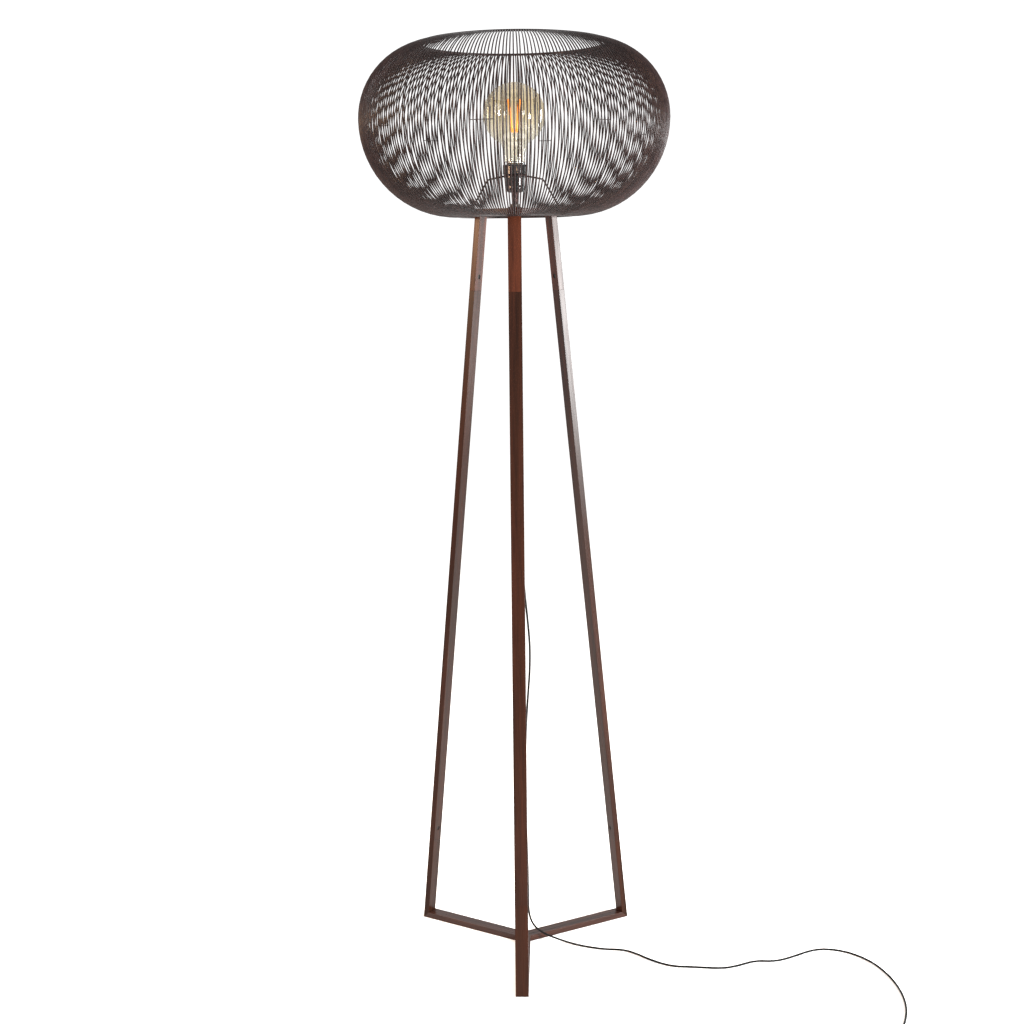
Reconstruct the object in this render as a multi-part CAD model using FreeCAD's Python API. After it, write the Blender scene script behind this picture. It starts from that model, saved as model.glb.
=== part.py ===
import FreeCAD, Part
import math
import os

# Wire cage floor lamp on a three-legged wooden stand.  Millimetres, +Z up, the floor at Z = 0.
# The stand's axis is the Z axis.  One leg points to -Y and the others to 30 and 150 degrees.

V = FreeCAD.Vector
UP = V(0, 0, 1)
ORIGIN = V(0, 0, 0)

# Flat sides that stand for a round surface
LATHE_SIDES = 16
PEG_SIDES = 8
HOLE_SIDES = 12

FIT = 0.05                     # clearance between pieces that sit in each other

# Stand: flat bars of one section, in three closed frames that share the axis
BAR_WIDE = 21.5                # across the frame
BAR_THICK = 10.0               # in the plane of the frame
FOOT_RADIUS = 208.0            # outer corner of a foot, on the floor
HEAD_RADIUS = 70.0             # outer corner of the head
HEAD_TOP = 1264.0
LOWER_JOINT = 150.0            # heights of the knock-down joints on a leg's outer face
UPPER_JOINT = 1132.0
LEG_AZIMUTHS = {"front": -90.0, "right": 30.0, "left": 150.0}

# Knock-down joint: a threaded rod along the leg, locked by a cross dowel in an open hole
ROD_RADIUS = 2.0
ROD_HALF = 34.0                # length in each of the two bars
DOWEL_RADIUS = 3.8
DOWEL_HOLE_RADIUS = 4.0
DOWEL_ABOVE_JOINT = 23.0
DOWEL_DEPTH = 7.6
DOWEL_SUNK = 0.8               # below the inner face
ROD_CLEARANCE = 0.2
HUB_DOWEL_RADIUS = 3.0
HUB_DOWEL_LENGTH = 20.0
HUB_DOWEL_FROM_AXIS = 7.0

# Threaded stem through the head, with its nuts and washers
STEM_RADIUS = 5.0
STEM_BORE = 3.4
STEM_BOTTOM = 1242.0
STEM_TOP = 1292.0
NUT_FLATS = 14.0
NUT_HIGH = 5.0
WASHER_RADIUS = 9.0
WASHER_THICK = 1.2
BUSH_RADIUS = 4.6
BUSH_TAPER = 1.0
BUSH_DROP = 5.0                # the bush stands this far out of the stem's lower end
BUSH_PLUG = 6.0                # and sits this far in it

# Lampholder
CAP_RADIUS = 15.5
CAP_BOTTOM = 1288.0
BODY_BOTTOM = 1299.0
FLANGE_RADIUS = 18.0
FLANGE_BOTTOM = 1310.5
FLANGE_TOP = 1313.5
FLANGE_CHAMFER = 1.0
SLEEVE_SUNK = 1.5              # the contact sleeve ends this far below the body's rim
THREAD_RADIUS = 15.5
BODY_TOP = 1331.0
HOLDER_WALL = 1.6
COLLAR_RADIUS = 19.5
COLLAR_BOTTOM = 1316.8
COLLAR_TOP = 1332.0
COLLAR_TEETH = 12
TOOTH_GAP = 3.6
TOOTH_DEEP = 2.6
CAP_NOSE = 9.0                 # radius of the flat end of the cap
CAP_SHOULDER = (13.0, 1.6)     # radius, and height above the cap's end
CAP_SIDE = 5.5                 # height where the straight side starts
CAP_FLOOR = 4.0
CAP_FILLET = (11.0, 2.5)       # radius, and rise of the inside corner above the cap's floor
CARRIER_SEAT = 4.0             # above the body's lower end
CARRIER_THICK = 5.0
TERMINAL_RADIUS = 1.5
TERMINAL_LONG = 5.5
TERMINAL_SPREAD = 8.0
TERMINALS_BOTTOM = BODY_BOTTOM + 1.5
TONGUE = (7.6, 5.0, 0.8)       # centre contact's spring: length, width and thickness
TONGUE_SEAT = 2.0              # above the carrier's underside
CONTACT_RADIUS = 2.4

# Bulb: globe on a screw cap
GLOBE_RADIUS = 50.0
GLOBE_CENTRE = 1411.0
GLASS_WALL = 1.2
NECK_RADIUS = 16.5
NECK_BOTTOM = 1337.0
NECK_SPREAD = 1.35             # the neck meets the globe this much wider than a straight neck would
GLOBE_STEPS = 8
SCREW_RADIUS = 13.2
SCREW_BOTTOM = 1313.0
SCREW_WALL = 0.8
BUTTON_TIP = (4.5, 1.0)        # radius and height of the contact under the screw cap
INSULATOR_HIGH = 3.0
STALK_RADIUS = 4.0
STALK_HIGH = 22.0
STEM_WIRE = 1.2
FILAMENT_RADIUS = 1.3
FILAMENT_LONG = 52.0
FILAMENT_FOOT = (6.0, -28.0)   # radius, and height from the globe's centre
FILAMENT_LEAN = 3.0
FILAMENTS = 4

# Cage: one wire profile repeated round the axis, two arcs that meet at the widest level
CAGE_RADIUS = 250.0            # outside of the wires
CAGE_WIDEST = 1403.0
TOP_ARC = 120.0
BOTTOM_ARC = 152.0
TOP_RING_RADIUS = 149.0
BOTTOM_RING_RADIUS = 92.0
RING_WIRE = 2.0                # radius of the two ring wires
WIRE_COUNT = 256
WIRE_CORNER = 1.35             # corner radius of a wire's three-sided section
TOP_RUNS = 3                   # straight runs along each arc of a wire
BOTTOM_RUNS = 3
RING_SIDES = 48
SECTORS = 8
WELD_DEPTH = 0.5               # how far welded wires sink into each other
# Short tie wires round the widest level: first wire, number of pitches spanned
TIES = ((182, 6), (214, 4), (153, 5), (88, 5), (54, 4), (20, 6))
TIE_WIRE = 0.9
TIE_DROP = 18.0                # below the widest level

# Spider that carries the cage from the lampholder
SPIDER_WIRE = 1.5
SPIDER_RING = 17.0
SPIDER_BEND_RADIUS = 52.0
SPIDER_BEND_HEIGHT = 1310.0
SPIDER_RISE = 0.2              # the seat ring lies this far above the flange
SPIDER_OVERLAP = 1.0           # how far an arm's end reaches over the bottom ring

# Cord
CORD_RADIUS = 1.75
CORD_SIDES = 4
CORD_ROUTE = (
    (0.0, 0.0, 1237.0), (0.0, 0.5, 1220.0), (0.6, 1.8, 1190.0), (2.0, 3.8, 1142.0), (3.6, 5.8, 1084.0),
    (4.6, 7.2, 1026.0), (4.6, 7.8, 968.0), (3.8, 7.4, 910.0), (2.4, 6.2, 852.0), (1.4, 4.4, 794.0),
    (1.6, 2.4, 736.0), (3.6, 0.8, 680.0), (7.4, -0.2, 628.0), (12.0, -0.8, 580.0), (15.6, -0.8, 534.0),
    (14.8, -0.2, 490.0), (11.0, 0.8, 444.0), (7.4, 2.0, 392.0), (5.2, 3.0, 336.0), (4.6, 3.4, 278.0),
    (5.2, 3.0, 222.0), (6.4, 2.0, 172.0), (7.4, 1.0, 128.0), (7.4, 0.2, 86.0), (9.4, -0.4, 52.0),
    (18.5, -1.4, 27.0), (34.0, -3.0, 13.0), (52.0, -6.0, 5.0), (74.0, -12.5, 1.75), (101.0, -28.5, 1.75),
    (138.0, -41.0, 1.75), (171.0, -42.0, 1.75), (193.0, -57.0, 1.75), (215.0, -80.0, 1.75),
    (249.0, -104.5, 1.75), (290.0, -107.0, 1.75), (334.0, -112.5, 1.75), (361.0, -103.5, 1.75),
    (394.0, -83.5, 1.75), (427.0, -87.0, 1.75), (459.0, -70.5, 1.75), (496.0, -44.5, 1.75),
    (526.0, -40.0, 1.75), (560.0, -54.0, 1.75), (590.0, -88.0, 1.75), (608.0, -136.0, 1.75),
    (616.0, -188.0, 1.75), (614.0, -238.0, 1.75), (604.0, -280.0, 1.75), (588.0, -320.0, 1.75),
    (564.0, -354.0, 2.6), (538.0, -372.5, 4.4), (519.0, -375.0, 5.0),
)

# Coil of the spare length, between the foot switch and the plug
COIL_OUTER = 21.5              # radii of the turns' centre line
COIL_INNER = 17.0
COIL_TURNS = 2
COIL_LAYER = 4.5               # height between the two layers
COIL_CENTRE = V(420.0, -397.0, 0)

# Foot switch
SWITCH_CENTRE = V(490.0, -375.0, 0)
SWITCH_RADIUS = 29.0
SWITCH_HIGH = 21.0
SWITCH_WALL = 2.0
SWITCH_BASE = 2.5
CORD_ENTRY = 5.0               # height of the cord where it goes in and out
BUTTON_RADIUS = 11.0
BUTTON_STANDS = 4.5            # above the cover
BUTTON_TRAVEL = 3.0
BUTTON_GAP = 0.4
BUTTON_CHAMFER = 1.5
BUTTON_FLANGE = (2.0, 1.5)     # how far it stands out under the cover, and its thickness
PUSHER_RADIUS = 3.0
CORE = (30.0, 20.0, 8.0)
COVER_SIDE = 10.0              # height of the cover's straight side
COVER_STEPS = ((1.5, 6.0), (6.0, 1.5), (10.0, 0.0))    # in from the side, down from the top
POST_RADIUS = 1.5
POST_LONG = 9.0
POST_SUNK = 0.4
BOSS_RADIUS = 3.0
SCREW_CIRCLE = 22.0            # radius that the three base screws stand on
SCREW_PLACES = (30, 150, 270)  # degrees, clear of the cord's way through
BOSS_HIGH = 16.0

# Flat two-pin plug
PLUG_BACK = V(381.0, -375.0, 6.85)
PLUG_LONG = 34.0
PLUG_WIDE = 26.0
PLUG_THICK = 13.7
PIN_RADIUS = 2.0
PIN_LONG = 19.0
PIN_SPACING = 18.6
PLUG_SECTIONS = ((0.0, 9.0, 7.0), (10.0, 12.0, 9.0), (20.0, PLUG_WIDE, PLUG_THICK),
                 (PLUG_LONG, PLUG_WIDE, PLUG_THICK))    # forward, width and thickness


def save(name, *solids):
    shape = solids[0] if len(solids) == 1 else Part.makeCompound(list(solids))
    shape.exportStep("parts/%s.step" % name)


def turned(shape, degrees, centre=ORIGIN):
    copy = shape.copy()
    copy.rotate(centre, UP, degrees)
    return copy


def peg(radius, length, start, along, sides=PEG_SIDES):
    """A straight round bar with flat sides, from start along a direction."""
    side = along.cross(UP) if abs(along.z) < 0.9 else along.cross(V(0, 1, 0))
    side.normalize()
    other = V(along).normalize().cross(side)
    corners = []
    for k in range(sides):
        turn = 2 * math.pi * k / sides
        corners.append(start + side * (radius * math.cos(turn)) + other * (radius * math.sin(turn)))
    return Part.Face(Part.makePolygon(corners + corners[:1])).extrude(V(along).normalize() * length)


def around(radius, sides=LATHE_SIDES):
    """The corners of a polygon round the axis whose flats lie at the radius."""
    reach = radius / math.cos(math.pi / sides)
    turns = [2 * math.pi * (k + 0.5) / sides for k in range(sides)]
    return [(reach * math.cos(turn), reach * math.sin(turn)) for turn in turns]


def cylinder(radius, bottom, top):
    corners = [V(x, y, bottom) for x, y in around(radius)]
    return Part.Face(Part.makePolygon(corners + corners[:1])).extrude(V(0, 0, top - bottom))


def tube(outer, inner, bottom, top):
    return cylinder(outer, bottom, top).cut(cylinder(inner, bottom - 1, top + 1))


def plate(outline, width):
    """A flat bar from its outline in the (radius, height) plane, width across it."""
    points = [V(r, -width / 2, z) for r, z in outline]
    return Part.Face(Part.makePolygon(points + points[:1])).extrude(V(0, width, 0))


def solid_of(faces):
    outlines = []
    for face in faces:
        kept = [p for p, q in zip(face, face[1:] + face[:1]) if (p - q).Length > 1e-6]
        if len(kept) > 2:
            outlines.append(kept)
    shell = Part.Shell([Part.Face(Part.makePolygon(f + f[:1])) for f in outlines])
    shell.sewShape()
    solid = Part.Solid(shell)
    if solid.Volume < 0:
        solid.reverse()
    return solid


def bridged(rings, closed=False):
    """A solid of flat faces between like polygons; closed joins the last to the first."""
    faces = []
    for a, b in zip(rings, rings[1:] + rings[:1] if closed else rings[1:]):
        for i in range(len(a)):
            j = (i + 1) % len(a)
            faces.append([a[i], a[j], b[j], b[i]])
    if not closed:
        faces += [rings[0][::-1], rings[-1]]
    return solid_of(faces)


def rod(points, corner, sides):
    """A wire of straight runs in the (radius, height) plane, mitred where the runs meet."""
    rings = []
    for i, (r, z) in enumerate(points):
        ahead = V(*(points[min(i + 1, len(points) - 1)])) - V(r, z)
        behind = V(r, z) - V(*(points[max(i - 1, 0)]))
        ahead = ahead if ahead.Length else behind
        behind = behind if behind.Length else ahead
        along = (ahead.normalize() + behind.normalize()).normalize()
        stretch = 1 / along.dot(ahead)
        out = V(along.y, -along.x)
        ring = []
        for k in range(sides):
            turn = 2 * math.pi * k / sides
            across = corner * math.cos(turn) * stretch
            ring.append(V(r + out.x * across, corner * math.sin(turn), z + out.y * across))
        rings.append(ring)
    return bridged(rings)


def lathe(profile, sides=LATHE_SIDES):
    """A solid of revolution with flat sides, from a closed (radius, height) profile."""
    rings = [[V(r * x, r * y, z) for r, z in profile] for x, y in around(1.0, sides)]
    return bridged(rings, closed=True)


# ---- stand -------------------------------------------------------------------------------

LEAN = (FOOT_RADIUS - HEAD_RADIUS) / HEAD_TOP
LEG_UP = V(-LEAN, 0, 1).normalize()          # along a leg, from foot to head
LEG_OUT = V(1, 0, LEAN).normalize()          # square to its outer face


def outer_face(height):
    return FOOT_RADIUS - LEAN * height


def inner_face(height):
    return outer_face(height) - BAR_THICK / LEG_OUT.x


def cut_line(height):
    """Outer and inner ends of a square cut across a leg, from the outer face's height."""
    outer = V(outer_face(height), 0, height)
    inner = outer - LEG_OUT * BAR_THICK
    return (outer.x, outer.z), (inner.x, inner.z)


def foot_mitre():
    return (FOOT_RADIUS, 0), (inner_face(BAR_THICK), BAR_THICK)


def head_mitre():
    return (HEAD_RADIUS, HEAD_TOP), (inner_face(HEAD_TOP - BAR_THICK), HEAD_TOP - BAR_THICK)


def joint_centre(height):
    outer = V(outer_face(height), 0, height)
    return outer - LEG_OUT * (BAR_THICK / 2)


def rod_bore(height, grow=ROD_CLEARANCE):
    start = joint_centre(height) - LEG_UP * (ROD_HALF + grow)
    return peg(ROD_RADIUS + grow, 2 * (ROD_HALF + grow), start, LEG_UP)


def cross_hole(height, radius, depth, sunk):
    inner = joint_centre(height) + LEG_UP * DOWEL_ABOVE_JOINT - LEG_OUT * (BAR_THICK / 2 - sunk)
    return peg(radius, depth, inner, LEG_OUT, HOLE_SIDES)


def leg_pieces():
    low_out, low_in = cut_line(LOWER_JOINT)
    high_out, high_in = cut_line(UPPER_JOINT)
    corner_out, corner_in = foot_mitre()
    top_out, top_in = head_mitre()
    foot = plate((corner_out, low_out, low_in, corner_in), BAR_WIDE)
    leg = plate((low_out, high_out, high_in, low_in), BAR_WIDE)
    head = plate((high_out, top_out, top_in, high_in), BAR_WIDE)
    hole = DOWEL_DEPTH + DOWEL_SUNK
    foot = foot.cut(rod_bore(LOWER_JOINT))
    leg = leg.cut(rod_bore(LOWER_JOINT)).cut(cross_hole(LOWER_JOINT, DOWEL_HOLE_RADIUS, hole, 0))
    leg = leg.cut(rod_bore(UPPER_JOINT))
    head = head.cut(rod_bore(UPPER_JOINT)).cut(cross_hole(UPPER_JOINT, DOWEL_HOLE_RADIUS, hole, 0))
    return foot, leg, head


def wedge(bottom, top):
    """The 120 degree slice round +X that one arm has of the hub."""
    reach = 2 * FOOT_RADIUS
    tip = [V(0, 0, bottom), V(reach, -reach * math.sqrt(3), bottom), V(reach, reach * math.sqrt(3), bottom)]
    return Part.Face(Part.makePolygon(tip + tip[:1])).extrude(V(0, 0, top - bottom))


def hub_dowel(middle, grow=0.0):
    """A dowel across the mitre between two arms, square to it."""
    across = V(-math.sin(math.pi / 3), math.cos(math.pi / 3), 0)
    along = V(math.cos(math.pi / 3), math.sin(math.pi / 3), 0)
    start = along * HUB_DOWEL_FROM_AXIS + V(0, 0, middle) - across * (HUB_DOWEL_LENGTH / 2 + grow)
    return peg(HUB_DOWEL_RADIUS + grow, HUB_DOWEL_LENGTH + 2 * grow, start, across)


def base_arm():
    corner_out, corner_in = foot_mitre()
    arm = plate(((0, 0), corner_out, corner_in, (0, BAR_THICK)), BAR_WIDE)
    arm = arm.common(wedge(-1, BAR_THICK + 1))
    for turn in (0, -120):
        arm = arm.cut(turned(hub_dowel(BAR_THICK / 2, FIT), turn))
    return arm


def head_arm():
    top_out, top_in = head_mitre()
    arm = plate(((0, HEAD_TOP), top_out, top_in, (0, HEAD_TOP - BAR_THICK)), BAR_WIDE)
    arm = arm.common(wedge(HEAD_TOP - BAR_THICK - 1, HEAD_TOP + 1))
    return arm.cut(cylinder(STEM_RADIUS + 0.1, HEAD_TOP - BAR_THICK - 1, HEAD_TOP + 1))


def build_stand():
    foot, leg, head = leg_pieces()
    base, top = base_arm(), head_arm()
    for name, azimuth in LEG_AZIMUTHS.items():
        save("foot_" + name, turned(foot, azimuth))
        save("leg_" + name, turned(leg, azimuth))
        save("head_leg_" + name, turned(head, azimuth))
        save("base_arm_" + name, turned(base, azimuth))
        save("head_arm_" + name, turned(top, azimuth))
    rods, dowels = [], []
    for height in (LOWER_JOINT, UPPER_JOINT):
        screw = rod_bore(height, 0.0)
        dowel = cross_hole(height, DOWEL_RADIUS, DOWEL_DEPTH, DOWEL_SUNK).cut(rod_bore(height, FIT))
        rods += [turned(screw, azimuth) for azimuth in LEG_AZIMUTHS.values()]
        dowels += [turned(dowel, azimuth) for azimuth in LEG_AZIMUTHS.values()]
    save("joint_rods", *rods)
    save("cross_dowels", *dowels)
    save("hub_dowels", *[turned(hub_dowel(BAR_THICK / 2), a) for a in LEG_AZIMUTHS.values()])


# ---- stem and lampholder -----------------------------------------------------------------

def hex_nut(bottom):
    points = [V(x, y, bottom) for x, y in around(NUT_FLATS / 2, 6)]
    nut = Part.Face(Part.makePolygon(points + points[:1])).extrude(V(0, 0, NUT_HIGH))
    return nut.cut(cylinder(STEM_RADIUS + FIT, bottom - 1, bottom + NUT_HIGH + 1))


def build_stem():
    head_bottom = HEAD_TOP - BAR_THICK
    save("stem_tube", tube(STEM_RADIUS, STEM_BORE, STEM_BOTTOM, STEM_TOP))
    save("stem_washers",
         tube(WASHER_RADIUS, STEM_RADIUS + FIT, head_bottom - WASHER_THICK, head_bottom),
         tube(WASHER_RADIUS, STEM_RADIUS + FIT, HEAD_TOP, HEAD_TOP + WASHER_THICK))
    save("stem_nuts", hex_nut(head_bottom - WASHER_THICK - NUT_HIGH), hex_nut(HEAD_TOP + WASHER_THICK))
    lip, top = STEM_BOTTOM - BUSH_DROP, STEM_BOTTOM + BUSH_PLUG
    bore, plug = CORD_RADIUS + FIT, STEM_BORE - FIT
    save("cord_bush", lathe(((bore, lip), (BUSH_RADIUS - BUSH_TAPER, lip), (BUSH_RADIUS, STEM_BOTTOM),
                            (plug, STEM_BOTTOM), (plug, top), (bore, top))))
    save("cord_inner", cylinder(CORD_RADIUS, lip, TERMINALS_BOTTOM - FIT))


def build_holder():
    inside = CAP_RADIUS - HOLDER_WALL
    floor = CAP_BOTTOM + CAP_FLOOR
    shoulder, rise = CAP_SHOULDER
    fillet, fillet_rise = CAP_FILLET
    hole = STEM_RADIUS + FIT
    save("holder_cap", lathe(((hole, CAP_BOTTOM), (CAP_NOSE, CAP_BOTTOM), (shoulder, CAP_BOTTOM + rise),
                             (CAP_RADIUS, CAP_BOTTOM + CAP_SIDE), (CAP_RADIUS, BODY_BOTTOM),
                             (inside, BODY_BOTTOM), (inside, floor + fillet_rise), (fillet, floor),
                             (hole, floor))))
    seat = BODY_BOTTOM + CARRIER_SEAT
    narrow = inside - 2 * FIT
    save("holder_body", lathe(((narrow, BODY_BOTTOM), (CAP_RADIUS, BODY_BOTTOM), (CAP_RADIUS, FLANGE_BOTTOM),
                              (FLANGE_RADIUS, FLANGE_BOTTOM + FLANGE_CHAMFER), (FLANGE_RADIUS, FLANGE_TOP),
                              (THREAD_RADIUS, FLANGE_TOP), (THREAD_RADIUS, BODY_TOP), (inside, BODY_TOP),
                              (inside, seat), (narrow, seat))))
    save_carrier(narrow, seat)
    sleeve_bottom, sleeve_top = seat + CARRIER_THICK + FIT, BODY_TOP - SLEEVE_SUNK
    save("contact_sleeve", tube(inside - FIT, SCREW_RADIUS + 2 * FIT, sleeve_bottom, sleeve_top))
    collar = tube(COLLAR_RADIUS, THREAD_RADIUS + FIT, COLLAR_BOTTOM, COLLAR_TOP)
    notch = Part.makeBox(2 * TOOTH_DEEP, TOOTH_GAP, 2 * TOOTH_DEEP,
                         V(COLLAR_RADIUS - TOOTH_DEEP, -TOOTH_GAP / 2, COLLAR_TOP - TOOTH_DEEP))
    for k in range(COLLAR_TEETH):
        collar = collar.cut(turned(notch, 360.0 * k / COLLAR_TEETH))
    save("shade_collar", collar)


def save_carrier(radius, seat):
    """The insulator in the lampholder, with its terminal screws and the centre contact."""
    carrier = cylinder(radius, seat, seat + CARRIER_THICK)
    long, wide, thick = TONGUE
    slot = Part.makeBox(long + 4 * FIT, wide + 4 * FIT, CARRIER_THICK,
                        V(-long / 2 - 2 * FIT, -wide / 2 - 2 * FIT, seat + TONGUE_SEAT))
    carrier = carrier.cut(slot)
    screws = []
    for side in (-1, 1):
        spot = V(side * TERMINAL_SPREAD, 0, TERMINALS_BOTTOM)
        carrier = carrier.cut(peg(TERMINAL_RADIUS + FIT, TERMINAL_LONG + FIT, spot, UP))
        screws.append(peg(TERMINAL_RADIUS, TERMINAL_LONG, spot, UP))
    save("holder_carrier", carrier)
    save("terminal_screws", *screws)
    tongue = Part.makeBox(long, wide, thick, V(-long / 2, -wide / 2, seat + TONGUE_SEAT))
    top_of_tongue = seat + TONGUE_SEAT + thick
    post = peg(CONTACT_RADIUS, SCREW_BOTTOM - top_of_tongue, V(0, 0, top_of_tongue), UP)
    save("centre_contact", tongue.fuse(post))


def globe_profile(radius):
    start = math.asin(NECK_RADIUS / GLOBE_RADIUS) * NECK_SPREAD
    angles = [(math.pi - start) * (1 - k / GLOBE_STEPS) for k in range(GLOBE_STEPS + 1)]
    return [(radius * math.sin(a), GLOBE_CENTRE + radius * math.cos(a)) for a in angles]


def build_bulb():
    outside = [(NECK_RADIUS, NECK_BOTTOM)] + globe_profile(GLOBE_RADIUS)
    inside = [(NECK_RADIUS - GLASS_WALL, NECK_BOTTOM)] + globe_profile(GLOBE_RADIUS - GLASS_WALL)
    save("bulb_glass", lathe(outside + inside[::-1]))
    bore = SCREW_RADIUS - SCREW_WALL
    seat = SCREW_BOTTOM + INSULATOR_HIGH
    roof = NECK_BOTTOM - INSULATOR_HIGH
    save("bulb_cap", lathe(((bore, seat), (SCREW_RADIUS, seat + SCREW_WALL), (SCREW_RADIUS, roof),
                           (NECK_RADIUS - SCREW_WALL, NECK_BOTTOM), (0, NECK_BOTTOM),
                           (0, NECK_BOTTOM - SCREW_WALL), (bore, roof))))
    tip, tip_high = BUTTON_TIP
    save("bulb_contact", lathe(((0, SCREW_BOTTOM), (tip, SCREW_BOTTOM), (tip, SCREW_BOTTOM + tip_high),
                               (bore, seat), (bore - FIT, seat + SCREW_WALL), (0, seat + SCREW_WALL))))
    stalk = cylinder(STALK_RADIUS, NECK_BOTTOM, NECK_BOTTOM + STALK_HIGH)
    wire = peg(STEM_WIRE, GLOBE_RADIUS, V(0, 0, NECK_BOTTOM + STALK_HIGH), UP)
    save("bulb_stalk", stalk.fuse(wire))
    foot, drop = FILAMENT_FOOT
    lean = V(FILAMENT_LEAN, 0, FILAMENT_LONG).normalize()
    strip = peg(FILAMENT_RADIUS, FILAMENT_LONG, V(foot, 0, GLOBE_CENTRE + drop), lean)
    save("bulb_filaments", *[turned(strip, 360.0 * (k + 0.5) / FILAMENTS) for k in range(FILAMENTS)])


# ---- cage --------------------------------------------------------------------------------

WIRE_RADIUS_AT_WIDEST = CAGE_RADIUS - WIRE_CORNER
PITCH = 360.0 / WIRE_COUNT


def wire_profile():
    """Centre line of one wire in the (radius, height) plane, from the top ring to the bottom ring."""
    top_centre = WIRE_RADIUS_AT_WIDEST - TOP_ARC
    bottom_centre = WIRE_RADIUS_AT_WIDEST - BOTTOM_ARC
    top_end = math.acos((TOP_RING_RADIUS + RING_WIRE - WELD_DEPTH - top_centre) / TOP_ARC)
    bottom_end = math.acos((BOTTOM_RING_RADIUS + RING_WIRE - WELD_DEPTH - bottom_centre) / BOTTOM_ARC)
    points = []
    for k in range(TOP_RUNS):
        angle = top_end * (1 - k / TOP_RUNS)
        points.append((top_centre + TOP_ARC * math.cos(angle), CAGE_WIDEST + TOP_ARC * math.sin(angle)))
    for k in range(BOTTOM_RUNS + 1):
        angle = bottom_end * k / BOTTOM_RUNS
        height = CAGE_WIDEST - BOTTOM_ARC * math.sin(angle)
        points.append((bottom_centre + BOTTOM_ARC * math.cos(angle), height))
    return points


def ring(radius, height):
    corner = RING_WIRE
    square = ((radius - corner, height), (radius, height - corner), (radius + corner, height),
              (radius, height + corner))
    return lathe(square, RING_SIDES)


def tie(first, span):
    """A straight tie inside the wires, from wire first across span pitches."""
    reach = WIRE_RADIUS_AT_WIDEST - WIRE_CORNER - TIE_WIRE / 2 + WELD_DEPTH
    half = math.radians(PITCH * span / 2)
    length = 2 * reach * math.sin(half) + 2 * WIRE_CORNER
    bar = Part.makeBox(TIE_WIRE, length, TIE_WIRE, V(reach * math.cos(half) - TIE_WIRE / 2, -length / 2,
                                                     CAGE_WIDEST - TIE_DROP))
    return turned(bar, PITCH * (first + span / 2))


def build_cage():
    profile = wire_profile()
    wire = rod(profile, WIRE_CORNER, 3)
    per_sector = WIRE_COUNT // SECTORS
    for sector in range(SECTORS):
        wires = [turned(wire, PITCH * (sector * per_sector + k)) for k in range(per_sector)]
        save("cage_wires_%d" % (sector + 1), *wires)
    save("cage_top_ring", ring(TOP_RING_RADIUS, profile[0][1]))
    save("cage_bottom_ring", ring(BOTTOM_RING_RADIUS, profile[-1][1]))
    save("cage_ties", *[tie(first, span) for first, span in TIES])
    return profile


def build_spider(ring_height):
    level = FLANGE_TOP + SPIDER_WIRE + SPIDER_RISE
    arm = rod(((SPIDER_RING, level), (SPIDER_BEND_RADIUS, SPIDER_BEND_HEIGHT),
               (BOTTOM_RING_RADIUS - SPIDER_OVERLAP, ring_height + RING_WIRE)), SPIDER_WIRE, 6)
    square = ((SPIDER_RING - SPIDER_WIRE + SPIDER_RISE, level), (SPIDER_RING, level - SPIDER_WIRE),
              (SPIDER_RING + SPIDER_WIRE, level), (SPIDER_RING, level + SPIDER_WIRE))
    spider = lathe(square, LATHE_SIDES)
    spider = spider.fuse([turned(arm, azimuth) for azimuth in LEG_AZIMUTHS.values()])
    save("spider", spider)


# ---- cord, foot switch and plug ----------------------------------------------------------

def arc_from(start, heading, end):
    """The arc that leaves start along heading and ends at end."""
    chord = end - start
    unit = V(chord).normalize()
    side = heading - unit * heading.dot(unit)
    if side.Length < 1e-6:
        return Part.LineSegment(start, end).toShape()
    half_sweep = math.acos(max(-1.0, min(1.0, heading.dot(unit))))
    middle = start + chord / 2 + side.normalize() * (chord.Length / 2 * math.tan(half_sweep / 2))
    return Part.Arc(start, middle, end).toShape()


def biarc(start, heading, end, end_heading):
    """Two arcs from start to end that keep both headings."""
    span = end - start
    both = heading + end_heading
    bend = 2 * (1 - heading.dot(end_heading))
    along = span.dot(both)
    if bend < 1e-6:
        reach = span.dot(span) / (4 * span.dot(end_heading))
    else:
        reach = (math.sqrt(along ** 2 + bend * span.dot(span)) - along) / bend
    middle = (start + end + (heading - end_heading) * reach) / 2
    second = (end - end_heading * reach - middle).normalize()
    return [arc_from(start, heading, middle), arc_from(middle, second, end)]


def rounded_path(points):
    """Straight runs joined by tangent arcs; also the smallest arc radius and the length."""
    edges, radii, at = [], [], points[0]
    for before, corner, after in zip(points, points[1:], points[2:]):
        back, ahead = before - corner, after - corner
        half_turn = (math.pi - back.getAngle(ahead)) / 2
        setback = 0.45 * min(back.Length, ahead.Length)
        radius = setback / math.tan(half_turn)
        begin = corner + back.normalize() * setback
        end = corner + ahead.normalize() * setback
        inward = (back + ahead).normalize()
        middle = corner + inward * (radius / math.cos(half_turn) - radius)
        edges += [Part.LineSegment(at, begin).toShape(), Part.Arc(begin, middle, end).toShape()]
        radii.append(radius)
        at = end
    edges.append(Part.LineSegment(at, points[-1]).toShape())
    return edges, radii


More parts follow.
